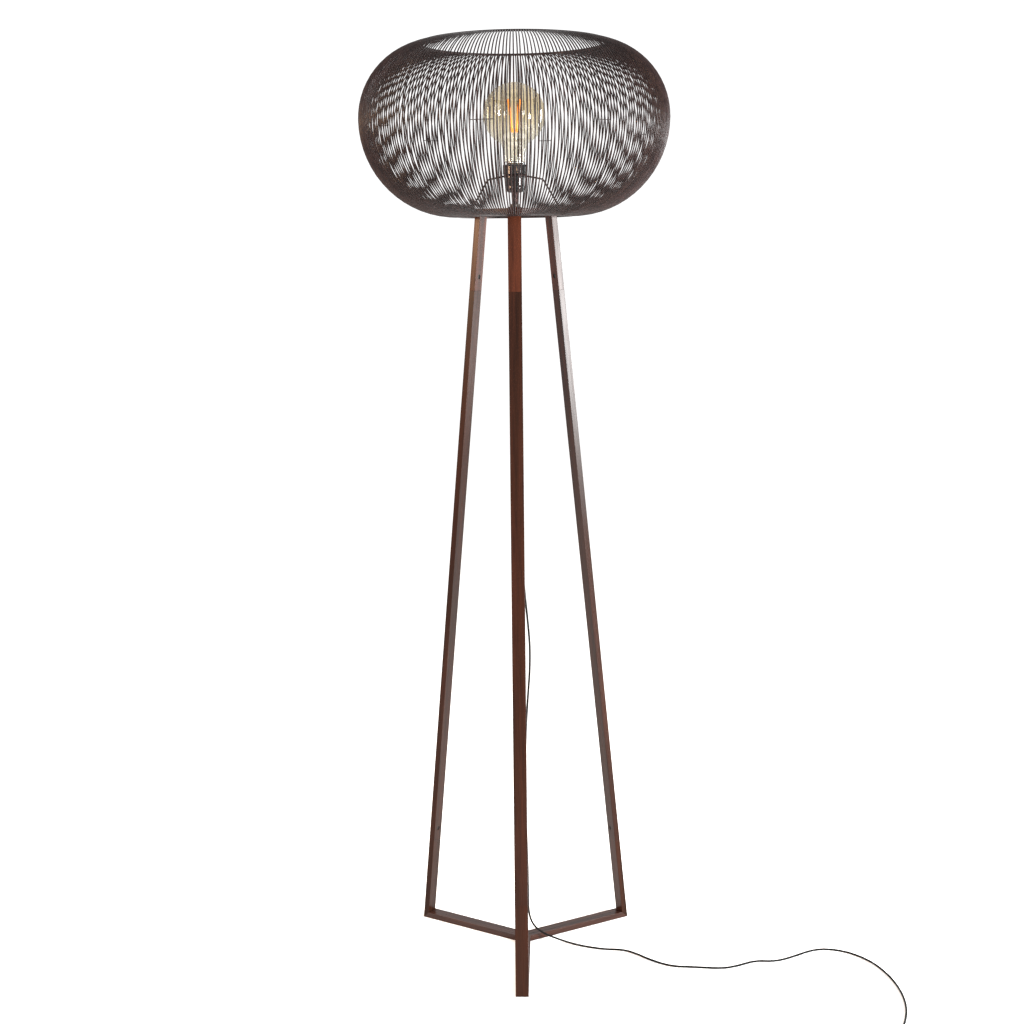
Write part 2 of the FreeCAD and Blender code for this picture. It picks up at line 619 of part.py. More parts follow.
def swept(edges, heading):
    """A cord of flat sides along the edges; the section has a flat underneath."""
    path = Part.Wire(edges)
    start = edges[0].Vertexes[0].Point
    side = V(0, 1, 0) if abs(heading.z) > 0.5 else heading.cross(UP).normalize()
    other = heading.cross(side).normalize()
    corners = []
    for k in range(CORD_SIDES):
        turn = 2 * math.pi * k / CORD_SIDES
        corners.append(start + side * (CORD_RADIUS * math.cos(turn)) + other * (CORD_RADIUS * math.sin(turn)))
    section = Part.makePolygon(corners + corners[:1])
    solid = path.makePipeShell([section], True, False)
    area = CORD_SIDES / 2 * CORD_RADIUS ** 2 * math.sin(2 * math.pi / CORD_SIDES)
    ratio = solid.Volume / area / path.Length
    print("cord length %.1f mm, volume over section x length %.4f" % (path.Length, ratio))
    return solid


def build_cord_run():
    points = [V(*p) for p in CORD_ROUTE]
    edges, radii = rounded_path(points)
    print("cord arc radii mm:", " ".join("%.0f" % r for r in radii))
    save("cord_run", swept(edges, (points[1] - points[0]).normalize()))


def coil_point(turn):
    """Point and heading of the coil's centre line: in on the floor, up a layer, and out again."""
    half = COIL_TURNS / 2
    slope = (COIL_OUTER - COIL_INNER) / half
    radius = COIL_INNER + slope * abs(turn - half)
    climb = min(max((turn - half) / 0.5 + 0.5, 0.0), 1.0)
    height = CORD_RADIUS + COIL_LAYER * (1 - math.cos(math.pi * climb)) / 2
    angle = math.pi / 2 + 2 * math.pi * turn
    return COIL_CENTRE + V(radius * math.cos(angle), radius * math.sin(angle), height)


def build_coil():
    lead = V(SWITCH_CENTRE.x - SWITCH_RADIUS, SWITCH_CENTRE.y, CORD_ENTRY)
    stations = [lead, lead - V(2 * CORD_RADIUS, 0, 0)]
    headings = [V(-1, 0, 0), V(-1, 0, 0)]
    quarters = 4 * COIL_TURNS
    for k in range(quarters + 1):
        turn = k / 4
        step = 0.01
        ahead = coil_point(min(turn + step, COIL_TURNS)) - coil_point(max(turn - step, 0))
        stations.append(coil_point(turn))
        headings.append(ahead.normalize())
    stations += [PLUG_BACK + V(2 * CORD_RADIUS, 0, 0), PLUG_BACK]
    headings += [V(-1, 0, 0), V(-1, 0, 0)]
    edges = [Part.LineSegment(stations[0], stations[1]).toShape()]
    for k in range(1, len(stations) - 2):
        edges += biarc(stations[k], headings[k], stations[k + 1], headings[k + 1])
    edges.append(Part.LineSegment(stations[-2], stations[-1]).toShape())
    save("cord_coil", swept(edges, V(-1, 0, 0)))
    report_gap(edges)


def report_gap(edges):
    """Prints the least gap between turns, measured on points along the coil."""
    spacing = 1.0
    points = []
    for edge in edges:
        points += edge.discretize(max(2, round(edge.Length / spacing) + 1))[:-1]
    skip = int(math.pi * COIL_INNER / spacing)
    least = min((a - b).Length for i, a in enumerate(points) for b in points[i + skip:])
    print("coil least gap mm: %.2f" % (least - 2 * CORD_RADIUS))


def cover_profile(wall):
    """The switch cover's outside, or its inside when wall is the wall's thickness."""
    side = SWITCH_RADIUS - wall
    steps = [(SWITCH_RADIUS - inward - wall / 2, SWITCH_HIGH - down - wall) for inward, down in COVER_STEPS]
    return [(0, SWITCH_BASE), (side, SWITCH_BASE), (side, COVER_SIDE)] + steps + [(0, SWITCH_HIGH - wall)]


def switch_push_button():
    under = SWITCH_HIGH - SWITCH_WALL - FIT
    crown = SWITCH_HIGH + BUTTON_STANDS
    proud, thick = BUTTON_FLANGE
    tip = SWITCH_BASE + CORE[2] + BUTTON_TRAVEL + BUTTON_GAP
    flange = BUTTON_RADIUS + proud
    return lathe(((0, tip), (PUSHER_RADIUS, tip), (PUSHER_RADIUS, under - thick), (flange, under - thick),
                  (flange, under), (BUTTON_RADIUS, under), (BUTTON_RADIUS, crown - BUTTON_CHAMFER),
                  (BUTTON_RADIUS - BUTTON_CHAMFER, crown), (0, crown)))


def build_switch():
    outside = lathe(cover_profile(0.0))
    cover = outside.cut(lathe(cover_profile(SWITCH_WALL)))
    cover = cover.cut(cylinder(BUTTON_RADIUS + BUTTON_GAP, 0, SWITCH_HIGH + 1))
    entries = peg(CORD_RADIUS + 2 * FIT, 4 * SWITCH_RADIUS, V(-2 * SWITCH_RADIUS, 0, CORD_ENTRY), V(1, 0, 0))
    cover = cover.cut(entries)
    base = cylinder(SWITCH_RADIUS, 0, SWITCH_BASE)
    long, wide, high = CORE
    core = Part.makeBox(long, wide, high, V(-long / 2, -wide / 2, SWITCH_BASE))
    screws = []
    post = peg(POST_RADIUS, POST_LONG, V(SCREW_CIRCLE, 0, POST_SUNK), UP)
    bore = peg(POST_RADIUS + 2 * FIT, POST_LONG + 2 * POST_SUNK, V(SCREW_CIRCLE, 0, -POST_SUNK), UP)
    boss = peg(BOSS_RADIUS, BOSS_HIGH, V(SCREW_CIRCLE, 0, SWITCH_BASE), UP).common(outside)
    for place in SCREW_PLACES:
        screws.append(turned(post, place))
        cover = cover.fuse(turned(boss, place)).cut(turned(bore, place))
        base = base.cut(turned(bore, place))
    pieces = {"switch_cover": (cover,), "switch_base": (base,), "switch_core": (core,),
              "switch_button": (switch_push_button(),), "switch_screws": screws}
    for name, solids in pieces.items():
        for solid in solids:
            solid.translate(SWITCH_CENTRE)
        save(name, *solids)


def plug_section(forward, wide, thick):
    x, y, z = PLUG_BACK.x - forward, PLUG_BACK.y, PLUG_BACK.z
    signs = ((-1, -1), (1, -1), (1, 1), (-1, 1))
    return [V(x, y + a * wide / 2, z + b * thick / 2) for a, b in signs]


def build_plug():
    save("plug_body", bridged([plug_section(*section) for section in PLUG_SECTIONS]))
    face = PLUG_BACK - V(PLUG_LONG, 0, 0)
    starts = [face + V(0, side * PIN_SPACING / 2, 0) for side in (-1, 1)]
    save("plug_pins", *[peg(PIN_RADIUS, PIN_LONG, start, V(-1, 0, 0)) for start in starts])


os.makedirs("parts", exist_ok=True)
build_stand()
build_stem()
build_holder()
build_bulb()
cage_profile = build_cage()
build_spider(cage_profile[-1][1])
build_cord_run()
build_coil()
build_switch()
build_plug()
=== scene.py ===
import math
import random
import bpy
from mathutils import Matrix, Vector


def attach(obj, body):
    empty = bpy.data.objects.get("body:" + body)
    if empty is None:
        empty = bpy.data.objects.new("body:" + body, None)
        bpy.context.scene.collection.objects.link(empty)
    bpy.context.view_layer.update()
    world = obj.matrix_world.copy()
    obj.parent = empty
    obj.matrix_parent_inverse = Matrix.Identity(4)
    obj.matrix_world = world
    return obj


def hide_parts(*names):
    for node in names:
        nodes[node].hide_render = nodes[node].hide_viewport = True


# Wire cage floor lamp: its looks over the CAD frame.  Metres, +Z up, the floor at Z = 0, the front leg
# to -Y.  Profiles of turned pieces are (radius, height) points.

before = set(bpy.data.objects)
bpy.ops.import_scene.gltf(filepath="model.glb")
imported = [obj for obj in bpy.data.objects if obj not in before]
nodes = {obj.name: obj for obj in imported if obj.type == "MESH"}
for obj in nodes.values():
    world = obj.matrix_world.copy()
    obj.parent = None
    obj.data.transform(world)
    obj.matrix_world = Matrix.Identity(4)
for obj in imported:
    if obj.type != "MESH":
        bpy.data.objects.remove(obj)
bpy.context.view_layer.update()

LEG_AZIMUTHS = {"front": -90.0, "right": 30.0, "left": 150.0}
FOOT_CIRCLE = 0.208            # radius at which the legs stand
HEAD_CIRCLE = 0.070            # and to which they lean in at the top
HEAD_TOP = 1.264
BAR_THICK = 0.010
ON_AXIS = 0.00001              # radius of a profile's points on the axis

# The cord's route, the control points of its smooth line: down inside the stand, over the floor
# and up to the switch
CORD_RADIUS = 0.00175
CORD_HANGING = (
    (0.0, 0.0, 1.237), (0.0, 0.0005, 1.22), (0.0006, 0.0018, 1.19), (0.002, 0.0038, 1.142),
    (0.0036, 0.0058, 1.084), (0.0046, 0.0072, 1.026), (0.0046, 0.0078, 0.968), (0.0038, 0.0074, 0.91),
    (0.0024, 0.0062, 0.852), (0.0014, 0.0044, 0.794), (0.0016, 0.0024, 0.736), (0.0036, 0.0008, 0.68),
    (0.0074, -0.0002, 0.628), (0.012, -0.0008, 0.58), (0.0156, -0.0008, 0.534), (0.0148, -0.0002, 0.49),
    (0.011, 0.0008, 0.444), (0.0074, 0.002, 0.392), (0.0052, 0.003, 0.336), (0.0046, 0.0034, 0.278),
    (0.0052, 0.003, 0.222), (0.0064, 0.002, 0.172), (0.0074, 0.001, 0.128), (0.0074, 0.0002, 0.086),
    (0.0080, -0.0004, 0.048), (0.0165, -0.0014, 0.0265), (0.0335, -0.003, 0.0135), (0.053, -0.006, 0.0064),
)
CORD_LYING = (
    (0.074, -0.0125), (0.101, -0.0285), (0.138, -0.041), (0.171, -0.042), (0.193, -0.057),
    (0.215, -0.08), (0.249, -0.1045), (0.29, -0.107), (0.334, -0.1125), (0.361, -0.1035),
    (0.394, -0.0835), (0.427, -0.087), (0.459, -0.0705), (0.496, -0.0445), (0.526, -0.04),
    (0.56, -0.054), (0.59, -0.088), (0.608, -0.136), (0.616, -0.188), (0.614, -0.238),
    (0.604, -0.28), (0.588, -0.32),
)
CORD_RISING = ((0.564, -0.354, 0.0026), (0.538, -0.3725, 0.0044), (0.519, -0.375, 0.005))
CORD_ROUTE = CORD_HANGING + tuple((x, y, CORD_RADIUS) for x, y in CORD_LYING) + CORD_RISING

SWITCH_CENTRE = Vector((0.49, -0.375, 0.0))
SWITCH_RADIUS = 0.029
SWITCH_HIGH = 0.021
CORD_ENTRY = 0.005             # height of the cord where it meets the switch
PLUG_BACK = Vector((0.381, -0.375, 0.00685))

COIL_OUTER = 0.0215            # radius of the cord's line where the coil begins and ends
COIL_INNER = 0.017             # and halfway
COIL_TURNS = 2
COIL_STEPS = 16                # points in a turn
COIL_LAYER = 0.0045            # from the lower turn up to the upper one
COIL_CLIMB = 0.5               # turns that the cord takes for it
COIL_LEAD = 0.007              # straight length at the switch and at the plug
COIL_CENTRE = Vector((0.42, -0.397, 0.0))
coil_exit = SWITCH_CENTRE + Vector((-SWITCH_RADIUS, 0, CORD_ENTRY))


# ---- camera ------------------------------------------------------------------------------

CAMERA_PLACE = (0.0581, -2.5124, 1.2042)
CAMERA_YAW = 1.597             # degrees, left of +Y
CAMERA_PITCH = 9.922           # below the horizon
CAMERA_ROLL = -0.769
CAMERA_LENS = 53.558


def add_camera():
    data = bpy.data.cameras.new("camera")
    data.lens = CAMERA_LENS
    data.sensor_width = 36.0
    camera = bpy.data.objects.new("camera", data)
    bpy.context.collection.objects.link(camera)
    turn = Matrix.Rotation(math.radians(CAMERA_YAW), 4, "Z")
    tilt = Matrix.Rotation(math.radians(90 - CAMERA_PITCH), 4, "X")
    roll = Matrix.Rotation(math.radians(CAMERA_ROLL), 4, "Z")
    camera.matrix_world = Matrix.Translation(CAMERA_PLACE) @ turn @ tilt @ roll
    bpy.context.scene.camera = camera


# ---- materials ---------------------------------------------------------------------------

CLOUD_SIZE = 12                # how much coarser the uneven gloss is than the grain
GLOSS_RANGE = (0.8, 1.25)      # its limits, as shares of the roughness
BUMP_HEIGHT = 0.0003
WOOD_ALONG = 1.6               # scale of the wood's pattern along the grain
WOOD_ACROSS = 40.0             # and across it
WOOD_EDGE = 0.0007             # radius that the bars' edges look rounded to
WOOD_SPECULAR = 0.09
BASE_ARM_SPECULAR = 0.2        # the base arms shine more
WAVE_LENGTH = 0.314            # from band to band of a wave texture with scale 1


def link(tree, source, output, target, socket):
    tree.links.new(source.outputs[output], target.inputs[socket])


def blank(name):
    """A new material, its node tree and its shader."""
    material = bpy.data.materials.new(name)
    material.use_nodes = True
    return material, material.node_tree, material.node_tree.nodes["Principled BSDF"]


def add_noise(tree, scale, detail, coordinates=None):
    """Noise over the object's own coordinates, or over the given ones."""
    noise = tree.nodes.new("ShaderNodeTexNoise")
    noise.inputs["Scale"].default_value = scale
    noise.inputs["Detail"].default_value = detail
    if coordinates is None:
        coordinates = tree.nodes.new("ShaderNodeTexCoord").outputs["Object"]
    tree.links.new(coordinates, noise.inputs["Vector"])
    return noise


def add_ramp(tree, source, low, high, dark, light):
    """Colours from dark, where the source is low, to light, where it is high."""
    ramp = tree.nodes.new("ShaderNodeValToRGB")
    ramp.color_ramp.elements[0].position = low
    ramp.color_ramp.elements[0].color = (*dark, 1)
    ramp.color_ramp.elements[1].position = high
    ramp.color_ramp.elements[1].color = (*light, 1)
    tree.links.new(source, ramp.inputs["Fac"])
    return ramp


def add_range(tree, source, low, high):
    """The source spread over the range from low to high."""
    spread = tree.nodes.new("ShaderNodeMapRange")
    spread.inputs["To Min"].default_value = low
    spread.inputs["To Max"].default_value = high
    tree.links.new(source, spread.inputs["Value"])
    return spread


def add_bump(tree, source, shader, strength, distance, edge=0.0):
    """Bump from a height; edge is the radius that sharp edges look rounded to."""
    bump = tree.nodes.new("ShaderNodeBump")
    bump.inputs["Strength"].default_value = strength
    bump.inputs["Distance"].default_value = distance
    tree.links.new(source, bump.inputs["Height"])
    if edge:
        bevel = tree.nodes.new("ShaderNodeBevel")
        bevel.samples = 4
        bevel.inputs["Radius"].default_value = edge
        link(tree, bevel, "Normal", bump, "Normal")
    link(tree, bump, "Normal", shader, "Normal")


def finished(name, dark, light, roughness, metallic=0.0, grain=600.0, bump=0.15, edge=0.0, specular=0.5):
    """A moulded, plated or painted surface with fine grain and uneven gloss."""
    material, tree, shader = blank(name)
    cloudy = add_noise(tree, grain / CLOUD_SIZE, 4)
    fine = add_noise(tree, grain, 2)
    link(tree, add_ramp(tree, cloudy.outputs["Fac"], 0.35, 0.65, dark, light), "Color", shader, "Base Color")
    low, high = (roughness * share for share in GLOSS_RANGE)
    link(tree, add_range(tree, cloudy.outputs["Fac"], low, high), "Result", shader, "Roughness")
    add_bump(tree, fine.outputs["Fac"], shader, bump, BUMP_HEIGHT, edge)
    shader.inputs["Metallic"].default_value = metallic
    shader.inputs["Specular IOR Level"].default_value = specular
    return material


def dot_axis(tree, coordinates, axis):
    """How far the coordinates reach along an axis."""
    product = tree.nodes.new("ShaderNodeVectorMath")
    product.operation = "DOT_PRODUCT"
    product.inputs[1].default_value = axis
    tree.links.new(coordinates, product.inputs[0])
    return product.outputs["Value"]


def stained_wood(name, along, dark, light, shift=0.0, specular=WOOD_SPECULAR):
    """Stained and lacquered wood whose grain runs along a direction; shift picks another figure."""
    material, tree, shader = blank(name)
    along = Vector(along).normalized()
    side = along.cross((0, 0, 1)) if abs(along.z) < 0.9 else along.cross((1, 0, 0))
    side.normalize()
    other = along.cross(side)
    coordinates = tree.nodes.new("ShaderNodeTexCoord").outputs["Object"]
    combined = tree.nodes.new("ShaderNodeCombineXYZ")
    axes = (("X", along, WOOD_ALONG), ("Y", side, WOOD_ACROSS), ("Z", other, WOOD_ACROSS))
    for socket, axis, scale in axes:
        tree.links.new(dot_axis(tree, coordinates, axis * scale), combined.inputs[socket])
    moved = tree.nodes.new("ShaderNodeVectorMath")
    moved.inputs[1].default_value = (shift, shift * 0.7, shift * 1.3)
    tree.links.new(combined.outputs["Vector"], moved.inputs[0])
    figure = add_noise(tree, 1.6, 5, moved.outputs["Vector"])
    figure.inputs["Distortion"].default_value = 0.6
    pores = add_noise(tree, 9.0, 2, moved.outputs["Vector"])
    bands = add_ramp(tree, figure.outputs["Fac"], 0.32, 0.68, dark, light)
    streaks = add_ramp(tree, pores.outputs["Fac"], 0.30, 0.48, (0.55, 0.5, 0.5), (1, 1, 1))
    mixed = tree.nodes.new("ShaderNodeMix")
    mixed.data_type = "RGBA"
    mixed.blend_type = "MULTIPLY"
    mixed.inputs["Factor"].default_value = 0.8
    tree.links.new(bands.outputs["Color"], mixed.inputs["A"])
    tree.links.new(streaks.outputs["Color"], mixed.inputs["B"])
    tree.links.new(mixed.outputs["Result"], shader.inputs["Base Color"])
    link(tree, add_range(tree, pores.outputs["Fac"], 0.36, 0.22), "Result", shader, "Roughness")
    add_bump(tree, pores.outputs["Fac"], shader, 0.2, BUMP_HEIGHT, WOOD_EDGE)
    shader.inputs["Specular IOR Level"].default_value = specular
    return material


def thin_glass(name, tint, gloss, pale=None, low=0.0, high=1.0):
    """Thin coloured glass: what is behind shows through, more reflection towards the rim.

    With pale given, the tint fades to it from the height high down to low.
    """
    material, tree, shader = blank(name)
    tree.nodes.remove(shader)
    clear = tree.nodes.new("ShaderNodeBsdfTransparent")
    shine = tree.nodes.new("ShaderNodeBsdfGlossy")
    shine.inputs["Roughness"].default_value = 0.03
    rim = tree.nodes.new("ShaderNodeLayerWeight")
    rim.inputs["Blend"].default_value = 0.35
    smoke = add_noise(tree, 14.0, 2)
    deep = tuple(c * 0.9 for c in tint)
    colour = add_ramp(tree, smoke.outputs["Fac"], 0.3, 0.7, deep, tint)
    if pale is None:
        link(tree, colour, "Color", clear, "Color")
    else:
        place = tree.nodes.new("ShaderNodeSeparateXYZ")
        link(tree, tree.nodes.new("ShaderNodeTexCoord"), "Object", place, "Vector")
        height = add_range(tree, place.outputs["Z"], 0.0, 1.0)
        height.inputs["From Min"].default_value = low
        height.inputs["From Max"].default_value = high
        fade = tree.nodes.new("ShaderNodeMix")
        fade.data_type = "RGBA"
        fade.inputs["A"].default_value = (*pale, 1)
        link(tree, height, "Result", fade, "Factor")
        tree.links.new(colour.outputs["Color"], fade.inputs["B"])
        tree.links.new(fade.outputs["Result"], clear.inputs["Color"])
    share = add_range(tree, rim.outputs["Facing"], gloss, 0.5)
    mixed = tree.nodes.new("ShaderNodeMixShader")
    link(tree, share, "Result", mixed, "Fac")
    tree.links.new(clear.outputs["BSDF"], mixed.inputs[1])
    tree.links.new(shine.outputs["BSDF"], mixed.inputs[2])
    tree.links.new(mixed.outputs["Shader"], tree.nodes["Material Output"].inputs["Surface"])
    return material


def threaded(name, colour, roughness, pitch):
    """Metal with a screw thread drawn as bands round Z, each groove darkened with painted shade."""
    material, tree, shader = blank(name)
    coordinates = tree.nodes.new("ShaderNodeTexCoord")
    wave = tree.nodes.new("ShaderNodeTexWave")
    wave.bands_direction = "Z"
    wave.inputs["Scale"].default_value = WAVE_LENGTH / pitch
    link(tree, coordinates, "Object", wave, "Vector")
    # painted shade: the thread's grooves get a colour half as bright as its crests
    shade = tuple(c * 0.5 for c in colour)
    link(tree, add_ramp(tree, wave.outputs["Fac"], 0.1, 0.6, shade, colour), "Color", shader, "Base Color")
    add_bump(tree, wave.outputs["Fac"], shader, 0.8, pitch / 3)
    shader.inputs["Metallic"].default_value = 1.0
    shader.inputs["Roughness"].default_value = roughness
    return material


CAGE_PAINT = finished("cage_paint", (0.008, 0.004, 0.004), (0.018, 0.009, 0.008), 0.3,
                      grain=900.0, bump=0.2, specular=0.15)
ZINC = finished("zinc", (0.5, 0.5, 0.5), (0.66, 0.66, 0.65), 0.3, metallic=1.0)
BLACKENED = finished("blackened_steel", (0.010, 0.009, 0.008), (0.028, 0.025, 0.022), 0.4, metallic=1.0)
BRASS = finished("brass", (0.6, 0.42, 0.18), (0.78, 0.58, 0.28), 0.3, metallic=1.0)
NICKEL = finished("nickel", (0.6, 0.59, 0.56), (0.75, 0.74, 0.7), 0.2, metallic=1.0)
BAKELITE = finished("bakelite", (0.004, 0.004, 0.004), (0.010, 0.009, 0.009), 0.12,
                    grain=400.0, bump=0.05, edge=0.0004, specular=0.3)
PLASTIC = finished("black_plastic", (0.007, 0.007, 0.007), (0.014, 0.013, 0.013), 0.42,
                   grain=1500.0, bump=0.4, edge=0.0004, specular=0.2)
SHEATH = finished("cord_sheath", (0.003, 0.003, 0.003), (0.007, 0.007, 0.007), 0.5,
                  grain=1800.0, bump=0.3, specular=0.06)
CERAMIC = finished("insulator", (0.6, 0.58, 0.53), (0.75, 0.73, 0.68), 0.4)
BEECH = stained_wood("beech", (1, 0, 0), (0.45, 0.28, 0.14), (0.72, 0.5, 0.3))
GLASS = thin_glass("amber_glass", (0.84, 0.745, 0.55), 0.06, pale=(0.95, 0.92, 0.82), low=1.365, high=1.42)
CLEAR = thin_glass("clear_glass", (0.95, 0.95, 0.93), 0.08)
CAP_THREAD = threaded("cap_thread", (0.72, 0.71, 0.67), 0.22, 0.0036)
STEM_THREAD = threaded("stem_thread", (0.10, 0.065, 0.06), 0.4, 0.001)


def filament_glow():
    """Phosphor on the filament strips, glowing faintly."""
    material, tree, shader = blank("filament")
    dots = add_noise(tree, 900.0, 1)
    link(tree, add_ramp(tree, dots.outputs["Fac"], 0.35, 0.6, (0.8, 0.22, 0.015), (1.0, 0.42, 0.05)),
         "Color", shader, "Base Color")
    shader.inputs["Roughness"].default_value = 0.45
    shader.inputs["Emission Color"].default_value = (1.0, 0.26, 0.015, 1)
    shader.inputs["Emission Strength"].default_value = 0.5
    return material


FILAMENT = filament_glow()

# Dark and light of the grain; the head pieces are lighter and redder than the long legs
WOODS = {"foot_": ((0.010, 0.0034, 0.0013), (0.024, 0.0068, 0.0028)),
         "leg_": ((0.0105, 0.0036, 0.0018), (0.025, 0.0076, 0.0038)),
         "head_leg_": ((0.020, 0.0058, 0.003), (0.048, 0.013, 0.006)),
         "base_arm_": ((0.014, 0.0045, 0.0025), (0.033, 0.0105, 0.0058)),
         "head_arm_": ((0.02, 0.006, 0.0035), (0.046, 0.013, 0.007))}


# ---- shapes ------------------------------------------------------------------------------

CORNER_STEPS = 3               # faces over a rounded corner
TURNED_SIDES = 64


def add_mesh(name, vertices, faces, material, body="lamp", replaced=(), smooth=True):
    """A piece that rides on a body and stands in the place of CAD nodes."""
    data = bpy.data.meshes.new(name)
    data.from_pydata([tuple(v) for v in vertices], [], faces)
    data.validate()
    data.update()
    data.materials.append(material)
    piece = bpy.data.objects.new(name, data)
    bpy.context.collection.objects.link(piece)
    if smooth:
        data.polygons.foreach_set("use_smooth", [True] * len(data.polygons))
    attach(piece, body)
    if replaced:
        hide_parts(*replaced)
    return piece


def revolved(profile, sides, centre=(0, 0, 0), closed=True):
    """Vertices and faces of a (radius, height) profile turned round the vertical through centre."""
    centre = Vector(centre)
    vertices, faces = [], []
    count = len(profile)
    for k in range(sides):
        turn = 2 * math.pi * k / sides
        for radius, height in profile:
            vertices.append(centre + Vector((radius * math.cos(turn), radius * math.sin(turn), height)))
    for k in range(sides):
        a, b = k * count, (k + 1) % sides * count
        for i in range(count if closed else count - 1):
            j = (i + 1) % count
            faces.append((a + i, b + i, b + j, a + j))
    return vertices, faces


def rounded(profile, radius):
    """The same closed profile with its corners rounded."""
    points = [Vector(p) for p in profile]
    result = []
    for i, corner in enumerate(points):
        back = points[i - 1] - corner
        ahead = points[(i + 1) % len(points)] - corner
        cut = min(radius, 0.4 * back.length, 0.4 * ahead.length)
        begin = corner + back.normalized() * cut
        end = corner + ahead.normalized() * cut
        for k in range(CORNER_STEPS + 1):
            t = k / CORNER_STEPS
            result.append(tuple(begin * (1 - t) ** 2 + corner * 2 * t * (1 - t) + end * t ** 2))
    return result


def tube_rings(points, radius, sides):
    """Rings of vertices round a line, carried along it without twist."""
    rings = []
    side = (points[1] - points[0]).normalized().orthogonal().normalized()
    turns = [2 * math.pi * k / sides for k in range(sides)]
    for i, point in enumerate(points):
        ahead = points[min(i + 1, len(points) - 1)] - points[max(i - 1, 0)]
        ahead.normalize()
        side = (side - ahead * side.dot(ahead)).normalized()
        other = ahead.cross(side)
        rings.append([point + side * (radius * math.cos(t)) + other * (radius * math.sin(t)) for t in turns])
    return rings


def bridged(rings, first=0):
    """Faces between the rings and over both ends, for vertices numbered from first."""
    faces, sides = [], len(rings[0])
    for i in range(len(rings) - 1):
        a, b = first + i * sides, first + (i + 1) * sides
        for k in range(sides):
            j = (k + 1) % sides
            faces.append((a + k, a + j, b + j, b + k))
    faces.append(tuple(range(first + sides - 1, first - 1, -1)))
    last = first + (len(rings) - 1) * sides
    faces.append(tuple(range(last, last + sides)))
    return faces


def add_tubes(name, lines, radius, sides, material, body="lamp", replaced=()):
    """Round rods along several lines, as one piece."""
    vertices, faces = [], []
    for line in lines:
        rings = tube_rings([Vector(p) for p in line], radius, sides)
        faces += bridged(rings, len(vertices))
        for ring in rings:
            vertices += ring
    return add_mesh(name, vertices, faces, material, body, replaced)


def polar(radius, degrees, height):
    """The point at a radius, an azimuth and a height."""
    turn = math.radians(degrees)
    return Vector((radius * math.cos(turn), radius * math.sin(turn), height))


# ---- cord --------------------------------------------------------------------------------

def add_cord(name, points, node):
    """A round cord through control points, in the place of a CAD node."""
    data = bpy.data.curves.new(name, "CURVE")
    data.dimensions = "3D"
    data.bevel_depth = CORD_RADIUS
    data.bevel_resolution = 4
    data.use_fill_caps = True
    spline = data.splines.new("NURBS")
    spline.points.add(len(points) - 1)
    for target, point in zip(spline.points, points):
        target.co = (*point, 1)
    spline.order_u = 3
    spline.use_endpoint_u = True
    spline.resolution_u = 8
    data.materials.append(SHEATH)
    piece = bpy.data.objects.new(name, data)
    bpy.context.collection.objects.link(piece)
    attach(piece, "lamp")
    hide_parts(node)
    return piece


def coil_route():
    """In on the floor, up a layer, and out again, between the switch and the plug."""
    points = [coil_exit, coil_exit - Vector((COIL_LEAD, 0, 0))]
    half = COIL_TURNS / 2
    for k in range(COIL_TURNS * COIL_STEPS + 1):
        turn = k / COIL_STEPS
        radius = COIL_INNER + (COIL_OUTER - COIL_INNER) / half * abs(turn - half)
        climb = min(max((turn - half) / COIL_CLIMB + 0.5, 0.0), 1.0)
        height = CORD_RADIUS + COIL_LAYER * (1 - math.cos(math.pi * climb)) / 2
        points.append(COIL_CENTRE + polar(radius, 90 + 360 * turn, height))
    return points + [PLUG_BACK + Vector((COIL_LEAD, 0, 0)), PLUG_BACK]


# ---- cage --------------------------------------------------------------------------------

WIRE_COUNT = 256
SECTORS = 8
WIRE_RADIUS = 0.00105
WIRE_SIDES = 6
WIRE_STEPS = 14                # steps down the top arc
CAGE_RADIUS = 0.2482           # centre line of the wires at the widest level
CAGE_WIDEST = 1.403            # height of that level
TOP_ARC = 0.120                # radius of a wire's arc above it
BOTTOM_ARC = 0.152             # and below it
TOP_RING_RADIUS = 0.149
BOTTOM_RING_RADIUS = 0.092
RING_WIRE = 0.0019             # radius of the rings' own wire
RING_SIDES = 12
RING_STEPS = 192
WELD_DEPTH = 0.0005            # how deep a wire's end sits in its ring
TIES = ((182, 6), (214, 4), (153, 5), (88, 5), (54, 4), (20, 6))    # first wire and wires spanned
TIE_RADIUS = 0.0006
TIE_SIDES = 8
TIE_DROP = 0.018               # below the widest level
STRAY = 0.095                  # a wire's usual offset halfway between the rings, in pitches
STRAY_SEED = 7


def arc_angles():
    """How far the wire runs up its top arc and down its bottom arc."""
    top = (TOP_RING_RADIUS + RING_WIRE - WELD_DEPTH - CAGE_RADIUS + TOP_ARC) / TOP_ARC
    bottom = (BOTTOM_RING_RADIUS + RING_WIRE - WELD_DEPTH - CAGE_RADIUS + BOTTOM_ARC) / BOTTOM_ARC
    return math.acos(top), math.acos(bottom)


def wire_line():
    """A wire's centre line from the top ring to the bottom one, as (radius, height)."""
    top, bottom = arc_angles()
    line = []
    for k in range(WIRE_STEPS):
        angle = top * (1 - k / WIRE_STEPS)
        line.append((CAGE_RADIUS - TOP_ARC + TOP_ARC * math.cos(angle),
                     CAGE_WIDEST + TOP_ARC * math.sin(angle)))
    lower_steps = WIRE_STEPS + 2
    for k in range(lower_steps + 1):
        angle = bottom * k / lower_steps
        line.append((CAGE_RADIUS - BOTTOM_ARC + BOTTOM_ARC * math.cos(angle),
                     CAGE_WIDEST - BOTTOM_ARC * math.sin(angle)))
    return line


def add_ring(name, node, radius, height, thickness):
    """A ring of round wire; thickness is the wire's radius."""
    turns = [2 * math.pi * k / RING_SIDES for k in range(RING_SIDES)]
    profile = [(radius + thickness * math.cos(t), height + thickness * math.sin(t)) for t in turns]
    vertices, faces = revolved(profile, RING_STEPS)
    add_mesh(name, vertices, faces, CAGE_PAINT, replaced=(node,))


